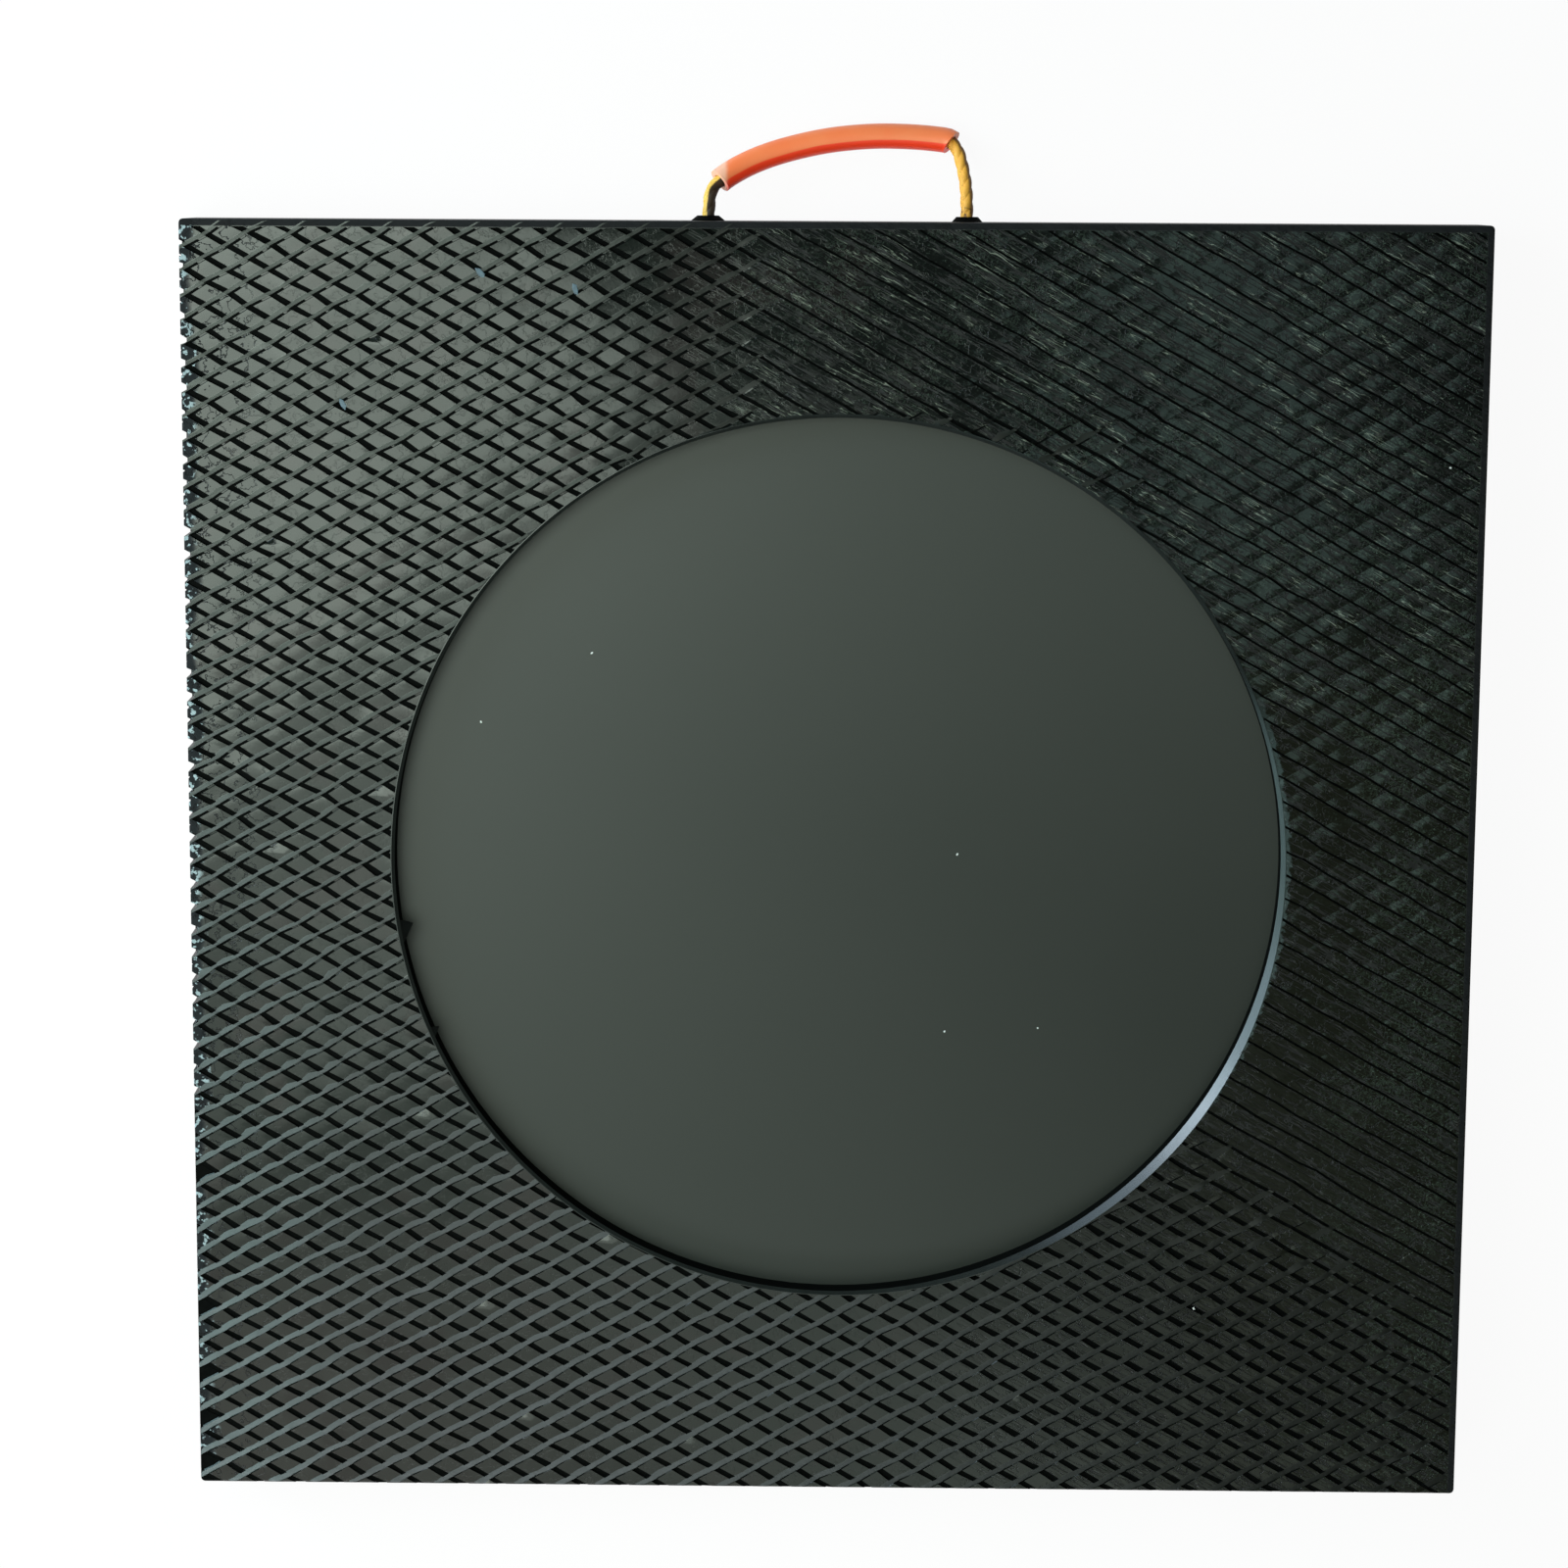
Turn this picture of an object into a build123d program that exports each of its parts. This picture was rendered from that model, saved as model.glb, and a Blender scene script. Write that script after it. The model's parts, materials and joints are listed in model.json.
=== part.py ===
from build123d import *
import math
import os

# A square load-spreading pad of black polyethylene, milled from one plate. It lies flat: the
# grooved face with the round seat looks up (+Z) and the rope handle leaves its +Y edge.
# Origin: the middle of the underside. All lengths are in millimetres, all angles in degrees.

# Plate
pad_width = 600.0
pad_depth = 600.0
pad_thickness = 40.0
corner_radius = 2.0
edge_chamfer = 1.2

# Round seat that the machine's foot stands in, with the thin whole rim that its cutter leaves
seat_diameter = 414.0
seat_depth = 12.0
seat_x = 3.0
seat_y = 4.0
rim_width = 1.6
rim_rise = 0.1

# Grooves of the gripping face: two families at mirrored angles to the X axis. A rising groove
# has one steep side and one long ramp, and a falling one is a plain V slot
groove_angle = 29.5
groove_spacing = 19.2
ramp_width = 2.5
ramp_depth = 0.75
steep_width = 0.4
slot_width = 1.9
slot_depth = 1.3
rising_offset = 3.0
falling_offset = 8.4

# Rope holes, the lip of plastic raised round each, and the knot pockets underneath
handle_x = 1.0
hole_pitch = 119.2
hole_clearance = 1.0
hole_wall = 12.0
lip_height = 2.4
lip_shoulder = 1.0
left_lip_radius = 8.5
right_lip_radius = 7.0
pocket_side_clearance = 3.5
pocket_end_clearance = 2.0
pocket_roof_clearance = 1.0
pocket_corner_radius = 5.0

# Rope, the knots on its ends, and the hose that is pushed over it
rope_diameter = 6.0
knot_wraps = 3
wrap_spacing = 5.0
knot_tail = 3.0
grip_diameter = 11.6
grip_length = 112.0
grip_start = 33.0

# What follows from the sizes above
pad_y = -lip_height / 2
edge_y = pad_y + pad_depth / 2
face_z = pad_thickness - rim_rise
seat_floor_z = pad_thickness - seat_depth
hole_height = pad_thickness / 2
hole_diameter = rope_diameter + 2 * hole_clearance
lip_top_radius = hole_diameter / 2 + lip_shoulder
left_x = handle_x - hole_pitch / 2
right_x = handle_x + hole_pitch / 2
rope_end_y = edge_y - hole_wall
wrap_radius = rope_diameter / 2
wrap_centre_radius = 1.5 * wrap_radius
knot_radius = wrap_centre_radius + wrap_radius
knot_length = (knot_wraps - 1) * wrap_spacing + 2 * wrap_radius
pocket_width = 2 * (knot_radius + pocket_side_clearance)
pocket_length = knot_length + knot_tail + pocket_end_clearance
pocket_depth = hole_height + knot_radius + pocket_roof_clearance
lay_z = grip_diameter / 2


def groove_family(angle, offset, outline):
    """Grooves of one outline side by side across the whole plate, at one angle to the X axis."""
    reach = math.hypot(pad_width, pad_depth)
    count = math.ceil(reach / 2 / groove_spacing)
    profile = Polyline(*outline, close=True)
    half_width = abs(pad_width / 2 * math.sin(math.radians(angle)))
    half_depth = abs(pad_depth / 2 * math.cos(math.radians(angle)))
    cutter = extrude(make_face(profile), amount=reach, dir=(1, 0, 0))
    cutter = Pos(-reach / 2, 0, 0) * cutter
    grooves = []
    for step in range(-count, count + 1):
        across = offset + step * groove_spacing
        if abs(across) < half_width + half_depth:
            place = Pos(0, pad_y, face_z) * Rot(0, 0, angle) * Pos(0, across, 0)
            grooves.append(place * cutter)
    return grooves


def ramp_outline():
    """Across a rising groove: steep up on its lower right side, a long ramp on the other."""
    return [(0, -steep_width, 0), (0, ramp_width, 0), (0, 0, -ramp_depth)]


def slot_outline():
    return [(0, -slot_width / 2, 0), (0, slot_width / 2, 0), (0, 0, -slot_depth)]


def plate():
    """The plain plate with rounded corners and a small chamfer round both faces."""
    blank = Pos(0, pad_y, 0) * Box(
        pad_width, pad_depth, face_z, align=(Align.CENTER, Align.CENTER, Align.MIN)
    )
    blank = fillet(blank.edges().filter_by(Axis.Z), corner_radius)
    outline = blank.faces().sort_by(Axis.Z)[-1].edges() + blank.faces().sort_by(Axis.Z)[0].edges()
    return chamfer(outline, edge_chamfer)


def seat_disc(radius):
    """A disc as deep as the seat, in its place: the seat's space, or the stock for its rim."""
    return Pos(seat_x, pad_y + seat_y, seat_floor_z) * Cylinder(
        radius, seat_depth, align=(Align.CENTER, Align.CENTER, Align.MIN)
    )


def hole_lip(x, radius):
    """The low ring of plastic raised round a rope hole, on the outside of the edge."""
    return Pos(x, edge_y, hole_height) * Rot(-90, 0, 0) * Cone(
        radius, lip_top_radius, lip_height, align=(Align.CENTER, Align.CENTER, Align.MIN)
    )


def rope_way(x):
    """A rope hole drilled in from the edge, and the knot pocket that it ends in."""
    hole_length = hole_wall + lip_height + pocket_length / 2
    hole = Pos(x, edge_y + lip_height, hole_height) * Rot(90, 0, 0) * Cylinder(
        hole_diameter / 2, hole_length, align=(Align.CENTER, Align.CENTER, Align.MIN)
    )
    pocket = Pos(x, rope_end_y, 0) * Box(
        pocket_width, pocket_length, pocket_depth, align=(Align.CENTER, Align.MAX, Align.MIN)
    )
    pocket = fillet(pocket.edges().filter_by(Axis.Z), pocket_corner_radius)
    return [hole, pocket]


def pad():
    rim = seat_disc(seat_diameter / 2 + rim_width) - seat_disc(seat_diameter / 2)
    body = plate() - seat_disc(seat_diameter / 2)
    body = body - groove_family(groove_angle, rising_offset, ramp_outline())
    body = body - groove_family(-groove_angle, falling_offset, slot_outline())
    body = body + rim
    body = body + [hole_lip(left_x, left_lip_radius), hole_lip(right_x, right_lip_radius)]
    return body - (rope_way(left_x) + rope_way(right_x))


def rope_route():
    """The rope from knot to knot: out of one hole, round the loop on the floor, into the other."""
    return [
        Vector(left_x, rope_end_y, hole_height),
        Vector(left_x, edge_y + 8.5, hole_height),
        Vector(left_x + 2.4, edge_y + 17.3, 13.5),
        Vector(left_x + 22.6, edge_y + 29.0, 7.5),
        Vector(handle_x - 9.0, edge_y + 36.6, lay_z),
        Vector(handle_x + 15.0, edge_y + 39.2, lay_z),
        Vector(handle_x + 33.0, edge_y + 38.9, lay_z + 0.3),
        Vector(right_x - 14.8, edge_y + 38.0, lay_z + 1.0),
        Vector(right_x - 5.1, edge_y + 36.6, 8.2),
        Vector(right_x - 0.8, edge_y + 20.0, 14.5),
        Vector(right_x, edge_y + 7.5, hole_height),
        Vector(right_x, rope_end_y, hole_height),
    ]


def route_radii(points):
    """One arc radius for each inner point, as large as its two runs allow."""
    radii = []
    for before, here, after in zip(points, points[1:], points[2:]):
        run_in = here - before
        run_out = after - here
        half_turn = math.radians(run_in.get_angle(run_out)) / 2
        radii.append(0.45 * min(run_in.length, run_out.length) / math.tan(half_turn))
    return radii


def rope_path():
    points = rope_route()
    return FilletPolyline(*points, radius=route_radii(points))


def section_at_start(path, outer, inner=0.0):
    """A round section, or a ring, square to the path at its first point."""
    plane = Plane(origin=path @ 0, z_dir=path % 0)
    ring = Circle(outer / 2)
    if inner > 0:
        ring = ring - Circle(inner / 2)
    return plane * ring


def rope():
    path = rope_path()
    return sweep(section_at_start(path, rope_diameter), path=path)


def hose_grip():
    """The hose: its bore is the rope's own size, because it is pushed over the rope."""
    whole = rope_path()
    start = grip_start / whole.length
    end = (grip_start + grip_length) / whole.length
    path = Wire(whole.edges()).trim(start, end)
    return sweep(section_at_start(path, grip_diameter, rope_diameter), path=path)


def knot(x):
    """A stopper knot: the rope wrapped round itself, with its cut tail on the inner side."""
    wraps = [
        Pos(0, 0, wrap_radius + turn * wrap_spacing) * Torus(wrap_centre_radius, wrap_radius)
        for turn in range(knot_wraps)
    ]
    core = Cylinder(
        wrap_centre_radius, knot_length, align=(Align.CENTER, Align.CENTER, Align.MIN)
    )
    tail = Cylinder(
        rope_diameter / 2, knot_length + knot_tail, align=(Align.CENTER, Align.CENTER, Align.MIN)
    )
    return Pos(x, rope_end_y, hole_height) * Rot(90, 0, 0) * (core + wraps + tail)


def main():
    os.makedirs("parts", exist_ok=True)
    nodes = {
        "pad": pad(),
        "rope": rope(),
        "hose_grip": hose_grip(),
        "knot_left": knot(left_x),
        "knot_right": knot(right_x),
    }
    for name, solid in nodes.items():
        export_step(solid, f"parts/{name}.step")
    path = rope_path()
    section_area = math.pi * rope_diameter**2 / 4
    print("rope radii", [round(radius, 1) for radius in route_radii(rope_route())])
    print("rope length", round(path.length, 1), "from edge to edge",
          round(path.length - 2 * (edge_y - rope_end_y), 1))
    print("rope volume", round(nodes["rope"].volume, 1), "section x length",
          round(section_area * path.length, 1))


main()
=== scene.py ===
import json
import math

import bpy
import numpy as np
from mathutils import Euler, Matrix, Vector


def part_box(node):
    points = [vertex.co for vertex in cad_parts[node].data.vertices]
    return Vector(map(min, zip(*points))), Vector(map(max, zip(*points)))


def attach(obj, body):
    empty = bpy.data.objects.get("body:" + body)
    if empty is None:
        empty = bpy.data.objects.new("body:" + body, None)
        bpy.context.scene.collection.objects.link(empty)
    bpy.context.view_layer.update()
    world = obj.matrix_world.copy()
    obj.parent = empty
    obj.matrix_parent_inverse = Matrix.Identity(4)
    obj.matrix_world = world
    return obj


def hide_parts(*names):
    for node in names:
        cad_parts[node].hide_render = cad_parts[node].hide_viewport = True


# The looks of a square outrigger pad: black plastic with a net of grooves, a round sunken seat,
# and a yellow rope with a length of orange hose on it as a handle.
# Lengths are in millimetres up to the moment a mesh is made, and the scene is in metres.

MM = 0.001

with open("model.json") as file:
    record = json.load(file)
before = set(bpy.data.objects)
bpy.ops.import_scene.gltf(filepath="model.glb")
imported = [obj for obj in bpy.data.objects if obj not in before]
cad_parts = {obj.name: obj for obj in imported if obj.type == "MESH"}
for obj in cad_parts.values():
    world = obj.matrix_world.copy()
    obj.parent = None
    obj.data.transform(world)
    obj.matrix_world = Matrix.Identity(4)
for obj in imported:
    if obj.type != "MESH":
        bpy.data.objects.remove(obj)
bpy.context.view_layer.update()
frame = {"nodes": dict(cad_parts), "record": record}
random_numbers = np.random.default_rng(31)


def mount(name):
    """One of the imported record's mounts."""
    return next(m for m in frame["record"]["mounts"] if m["name"] == name)


# Sizes that the CAD holds
pad_low, pad_high = (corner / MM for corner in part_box("pad"))
lip_height = 2.4
pad_width = pad_high.x - pad_low.x
pad_depth = pad_high.y - pad_low.y - lip_height
pad_thickness = pad_high.z
pad_y = -lip_height / 2
edge_y = pad_y + pad_depth / 2
seat_floor = Vector(mount("seat_floor")["pos_m"]) / MM
seat_radius = mount("seat_wall")["dims"]["r_mm"]
rim_rise = 0.1
face_z = pad_thickness - rim_rise
corner_radius = 2.0
edge_chamfer = 1.2
hole_height = pad_thickness / 2
hole_radius = 4.0
hole_wall = 12.0
left_x = -58.6
right_x = 60.6
left_lip_radius = 8.5
right_lip_radius = 7.0
lip_top_radius = 5.0
handle_x = (left_x + right_x) / 2
rope_end_y = edge_y - hole_wall
pocket_width = 22.0
pocket_length = 21.0
pocket_depth = 28.5
rope_diameter = 6.0
grip_diameter = 11.6
grip_length = 112.0
grip_start = 33.0
lay_z = grip_diameter / 2

# The real net of grooves, twice as fine as the CAD's
groove_angle = math.radians(29.5)
groove_spacing = 9.6
rising_offset = 3.0
falling_offset = 8.4


# Camera: a hand-held one, nearly straight above the handle's edge

camera_place = (2.3, 318.8, 1840.0)
camera_turn = (-8.81, 0.82, 0.31)
camera_lens = 89.84
camera_sensor = 36.0


def add_camera():
    data = bpy.data.cameras.new("camera")
    data.sensor_width = camera_sensor
    data.lens = camera_lens
    data.clip_start = 0.05
    data.clip_end = 20.0
    camera = bpy.data.objects.new("camera", data)
    camera.location = Vector(camera_place) * MM
    camera.rotation_euler = Euler([math.radians(turn) for turn in camera_turn])
    bpy.context.scene.collection.objects.link(camera)
    bpy.context.scene.camera = camera


add_camera()


# The rope's line

rope_route = [
    (left_x, rope_end_y, hole_height),
    (left_x, edge_y + 8.5, hole_height),
    (left_x + 2.4, edge_y + 17.3, 13.5),
    (left_x + 22.6, edge_y + 29.0, 7.5),
    (handle_x - 9.0, edge_y + 36.6, lay_z),
    (handle_x + 15.0, edge_y + 39.2, lay_z),
    (handle_x + 33.0, edge_y + 38.9, lay_z + 0.3),
    (right_x - 14.8, edge_y + 38.0, lay_z + 1.0),
    (right_x - 5.1, edge_y + 36.6, 8.2),
    (right_x - 0.8, edge_y + 20.0, 14.5),
    (right_x, edge_y + 7.5, hole_height),
    (right_x, rope_end_y, hole_height),
]


def smooth_line(route):
    """Points in metres along the smooth spline that has the route's points as its control points."""
    data = bpy.data.curves.new("rope_line", "CURVE")
    data.dimensions = "3D"
    data.resolution_u = 24
    spline = data.splines.new("NURBS")
    spline.points.add(len(route) - 1)
    for point, place in zip(spline.points, route):
        point.co = (*(Vector(place) * MM), 1.0)
    spline.order_u = 3
    spline.use_endpoint_u = True
    holder = bpy.data.objects.new("rope_line", data)
    bpy.context.scene.collection.objects.link(holder)
    line = bpy.data.meshes.new_from_object(holder)
    points = [vertex.co.copy() for vertex in line.vertices]
    bpy.data.objects.remove(holder)
    bpy.data.meshes.remove(line)
    return points


class Line:
    """A line through close points, walked by length, with a frame that doesn't twist."""

    def __init__(self, points):
        self.points = np.array(points)
        steps = np.linalg.norm(np.diff(self.points, axis=0), axis=1)
        self.lengths = np.concatenate([[0.0], np.cumsum(steps)])
        self.length = self.lengths[-1]

    def place(self, at):
        return Vector([np.interp(at, self.lengths, self.points[:, axis]) for axis in range(3)])

    def frames(self, stations):
        """(place, one side, other side) at each station, carried along without twist."""
        reach = 0.0005
        side = Vector((0.0, 0.0, 1.0))
        out = []
        for at in stations:
            ahead = self.place(min(at + reach, self.length))
            behind = self.place(max(at - reach, 0.0))
            along = (ahead - behind).normalized()
            side = (side - along * side.dot(along)).normalized()
            out.append((self.place(at), side, along.cross(side)))
        return out


rope_line = Line(smooth_line(rope_route))


# Meshes


def mesh_piece(name, vertices, faces, smooth_angle=None):
    """A mesh object from points in metres."""
    mesh = bpy.data.meshes.new(name)
    mesh.from_pydata([tuple(v) for v in vertices], [], [tuple(f) for f in faces])
    mesh.validate()
    piece = bpy.data.objects.new(name, mesh)
    bpy.context.scene.collection.objects.link(piece)
    if smooth_angle is not None:
        shade_smooth(piece, smooth_angle)
    return piece


def shade_smooth(piece, degrees):
    piece.data.polygons.foreach_set("use_smooth", [True] * len(piece.data.polygons))
    piece.data.set_sharp_from_angle(angle=math.radians(degrees))


def ring_faces(count, rows, start=0, joined=False):
    """The faces of a solid through rows of rings of count points, the first of them start."""
    faces = []
    for row in range(rows if joined else rows - 1):
        here = start + row * count
        there = start + (row + 1) % rows * count
        for k in range(count):
            step = (k + 1) % count
            faces.append((here + k, here + step, there + step, there + k))
    if not joined:
        faces.append(tuple(reversed(range(start, start + count))))
        faces.append(tuple(range(start + (rows - 1) * count, start + rows * count)))
    return faces


def stacked_rings(name, rings, joined=False):
    """A solid through rings with the same number of points; joined runs the last ring to the first."""
    vertices = [point for ring in rings for point in ring]
    return mesh_piece(name, vertices, ring_faces(len(rings[0]), len(rings), joined=joined))


def round_ring(place, side, other, radius, sides):
    """A ring in the plane of two directions at right angles. All lengths are in metres."""
    turns = [2 * math.pi * step / sides for step in range(sides)]
    return [place + side * (radius * math.cos(t)) + other * (radius * math.sin(t)) for t in turns]


def outline_ring(inset, z):
    """The pad's rounded outline, drawn in by inset, at one height."""
    corner_steps = 5
    half_x = pad_width / 2 - inset
    half_y = pad_depth / 2 - inset
    ring = []
    for quarter, (side_x, side_y) in enumerate([(1, 1), (-1, 1), (-1, -1), (1, -1)]):
        for step in range(corner_steps):
            turn = math.pi / 2 * (quarter + step / (corner_steps - 1))
            x = side_x * (half_x - corner_radius) + corner_radius * math.cos(turn)
            y = side_y * (half_y - corner_radius) + corner_radius * math.sin(turn) + pad_y
            ring.append(Vector((x, y, z)) * MM)
    return ring


def round_bar(name, start, end, start_radius, end_radius):
    """A bar or cone along the Y axis."""
    up = Vector((0.0, 0.0, 1.0))
    right = Vector((1.0, 0.0, 0.0))
    ends = ((start, start_radius), (end, end_radius))
    rings = [round_ring(Vector(place) * MM, up, right, radius * MM, 40) for place, radius in ends]
    return stacked_rings(name, rings)


def box_piece(name, low, high):
    """A box from its lowest corner to its highest."""
    rings = []
    for z in (low[2], high[2]):
        corners = [(low[0], low[1]), (high[0], low[1]), (high[0], high[1]), (low[0], high[1])]
        rings.append([Vector((x, y, z)) * MM for x, y in corners])
    return stacked_rings(name, rings)


def combine(target, tool, operation):
    """Cuts, joins or clips the target with a tool, which is used up."""
    modifier = target.modifiers.new(operation, "BOOLEAN")
    modifier.operation = operation
    modifier.solver = "MANIFOLD"
    modifier.object = tool
    shown = target.evaluated_get(bpy.context.evaluated_depsgraph_get())
    result = bpy.data.meshes.new_from_object(shown)
    target.modifiers.clear()
    if not result.polygons:
        raise RuntimeError(f"{operation} with {tool.name} left nothing")
    target.data = result
    bpy.data.objects.remove(tool)


# Relief: the grooved face as cells of a slanting lattice

# Distances across a rising groove, from its valley towards the upper left, and the heights there
ramp_lines = [(0.32, -0.72), (2.50, -0.06), (2.95, 0.0), (9.10, 0.0), (9.42, -0.72)]
# Distances across a falling slot, from its middle, and its share of the full depth there
slot_lines = [(0.95, 1.0), (1.10, 0.85), (1.30, 0.0), (5.20, 0.0), (8.30, 0.0), (8.50, 0.85), (8.65, 1.0)]
slot_depth = 1.4
# The lines between which a cell's top lies
top_start = 2
top_end = 3
# How much the cells differ: the crossings' places, the ramps' upper ends, the slots' ends, the
# tops' slopes and heights, how far a top's far corner is worn down, and how deep a chip is
wander = 0.36
bulge_spread = 0.30
slot_bulge_spread = 0.22
top_tilt = 0.010
top_step = 0.05
least_sink = 0.10
most_sink = 0.55
chip_depth = 1.0
# The plain bands along the far and right edges
band_width = 3.4
band_drop = 0.15
# The worn slope inside the seat's rim
slope_width = 1.45
slope_steepness = 0.84
# The rim's flakes: where they are in degrees, how long in radians and how far they reach inwards
burrs = [(188.8, 0.046, 6.0), (203.2, 0.022, 3.8)]
# The finishes of the pad's faces, by their place in the list of its materials
on_top, in_slot, on_ramp, on_floor, on_edge, on_rim = range(6)


def smooth_share(value, low, high):
    """0 below low, 1 above high, and smooth between."""
    share = np.clip((value - low) / (high - low), 0.0, 1.0)
    return share * share * (3.0 - 2.0 * share)


def lattice_to_plane(u, v):
    """From distances across both groove families to X and Y."""
    x = (v - u) / (2 * math.sin(groove_angle))
    y = (u + v) / (2 * math.cos(groove_angle)) + pad_y
    return x, y


def between(corners, row, column, t, q):
    """A value given at the lattice's crossings, at shares t and q across one cell."""
    low = corners[row, column] * (1 - t) + corners[row + 1, column] * t
    high = corners[row, column + 1] * (1 - t) + corners[row + 1, column + 1] * t
    return low * (1 - q) + high * q


def relief_kinds():
    """The finish of each of one cell's faces, by its rows across the rising and falling grooves."""
    slot_faces = [column for column in range(len(slot_lines)) if column not in (2, 3)]
    kinds = np.full((len(ramp_lines), len(slot_lines)), on_top)
    kinds[:top_start, :] = on_ramp
    kinds[1:, slot_faces] = in_slot
    # The wall into the rising groove and its valley, next to the slot, also get the black slot finish: a
    # painted shadow.
    kinds[top_end:, 2] = in_slot
    flat_kinds = np.full_like(kinds, on_top)
    flat_kinds[:, slot_faces] = in_slot
    return kinds, flat_kinds


def cell_regions(x, y):
    """How far the cells with their middles at x and y belong to each kind, from 0 to 1."""
    # The right side and the middle of the top are flatter: thin slots run on through the ramps
    flat_top = smooth_share(x, -70.0, -10.0) * smooth_share(y, 180.0, 230.0)
    ramps_reach = 170.0 * (1 - smooth_share(y, -260.0, -60.0))
    flatter = np.maximum(smooth_share(x - ramps_reach, 40.0, 190.0), flat_top)
    # The upper left has narrow ramps and wide valleys. Lower down the ramps are leaves between the
    # slots, and near the lower edge even ribbons
    narrow = smooth_share(y, -150.0, 40.0) * (1 - smooth_share(x, -60.0, 60.0))
    ribbons = 1 - smooth_share(y, -220.0, -60.0)
    leaf = (1 - ribbons) * (1 - narrow)
    return flatter, narrow, ribbons, leaf


def relief_surface():
    """X, Y and height of the lattice's points, and which of its cells are chipped and flatter."""
    reach = math.hypot(pad_width, pad_depth) / 2
    cells = 2 * math.ceil(reach / groove_spacing) + 2
    first_u = rising_offset - cells // 2 * groove_spacing
    first_v = falling_offset - cells // 2 * groove_spacing
    rows = len(ramp_lines)
    columns = len(slot_lines)
    across_u = np.zeros((cells * rows, cells * columns))
    across_v = np.zeros_like(across_u)
    height = np.zeros_like(across_u)
    shift_u, shift_v = random_numbers.normal(0, wander, (2, cells + 1, cells + 1))
    tilt_u, tilt_v = random_numbers.normal(0, top_tilt, (2, cells, cells))
    lift = random_numbers.uniform(-top_step, top_step, (cells, cells))
    sink = random_numbers.uniform(least_sink, most_sink, (cells, cells))
    bulge = random_numbers.normal(0, bulge_spread, (cells, cells))
    slot_bulge = random_numbers.normal(0, slot_bulge_spread, (cells, cells))
    slot_share = np.clip(random_numbers.normal(1.0, 0.15, (cells, cells)), 0.5, 1.2)
    row, column = np.meshgrid(np.arange(cells), np.arange(cells), indexing="ij")
    middle_u = first_u + (row + 0.5) * groove_spacing
    middle_v = first_v + (column + 0.5) * groove_spacing
    middle_x, middle_y = lattice_to_plane(middle_u, middle_v)
    flatter, narrow, ribbons, leaf = cell_regions(middle_x, middle_y)
    near_left = random_numbers.uniform(-308.0, -289.0, (cells, cells))
    chipped = (middle_x < near_left) & (middle_y < -105.0)
    lift = np.where(chipped, -chip_depth, lift)
    for a, (past_valley, ramp_z) in enumerate(ramp_lines):
        for b, (past_slot, share) in enumerate(slot_lines):
            from_slot = past_slot if past_slot < groove_spacing / 2 else past_slot - groove_spacing
            by_slot = abs(from_slot) < 1.5
            narrower = 0.6 * flatter * from_slot if by_slot else 0.0
            slot_z = -share * slot_depth * slot_share * (1 - 0.35 * flatter)
            if a < top_start:
                slot_z = slot_z * 0.5 * flatter
            z = np.full((cells, cells), ramp_z) * (1 - 0.75 * flatter)
            if a == top_end:
                z = z - sink * (1 - 0.6 * flatter) * smooth_share(past_slot, 1.0, 8.6)
            if top_start <= a <= top_end:
                slope_u = tilt_u * (past_valley - 6.0)
                slope_v = tilt_v * (past_slot - groove_spacing / 2)
                z = z + (lift + slope_u + slope_v) * (1 - share)
            u = first_u + row * groove_spacing + past_valley
            v = first_v + column * groove_spacing + past_slot - narrower
            shares = past_valley / groove_spacing, past_slot / groove_spacing
            u = u + between(shift_u, row, column, *shares)
            v = v + between(shift_v, row, column, *shares)
            if a in (1, top_start):
                u = u + (bulge * 0.25 - 0.8 * leaf if by_slot else bulge + 0.5 * leaf) - 0.7 * narrow
            if a >= top_end:
                u = u - 0.45 * narrow + 0.30 * ribbons
            elif a == 0:
                u = u - 0.25 * ribbons
            if a == top_start and by_slot:
                v = v + slot_bulge * (1 - flatter)
            across_u[a::rows, b::columns] = u
            across_v[a::rows, b::columns] = v
            height[a::rows, b::columns] = np.minimum(z, slot_z)
    x, y = lattice_to_plane(across_u, across_v)
    return x, y, height, chipped, flatter


def relief_faces(x, y, chipped, flatter):
    """The lattice's faces on the pad and a little past it, by their points, and their finishes."""
    rows = len(ramp_lines)
    columns = len(slot_lines)
    margin = 14.0
    from_seat = np.hypot(x - seat_floor.x, y - seat_floor.y)
    inside = (
        (np.abs(x) < pad_width / 2 + margin)
        & (np.abs(y - pad_y) < pad_depth / 2 + margin)
        & (from_seat > seat_radius - margin)
    )
    keep = np.kron(inside[::rows, ::columns], np.ones((rows, columns), bool))
    row, column = np.nonzero(keep[:-1, :-1])
    kinds, flat_kinds = (table[row % rows, column % columns] for table in relief_kinds())
    ragged = random_numbers.uniform(-0.25, 0.25, flatter.shape)
    kinds = np.where((flatter + ragged)[row // rows, column // columns] > 0.5, flat_kinds, kinds)
    kinds = np.where(chipped[row // rows, column // columns] & (kinds == on_top), in_slot, kinds)
    row_length = x.shape[1]
    corner = row * row_length + column
    faces = np.stack([corner, corner + row_length, corner + row_length + 1, corner + 1], axis=1)
    return faces[:, ::-1], kinds


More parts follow.
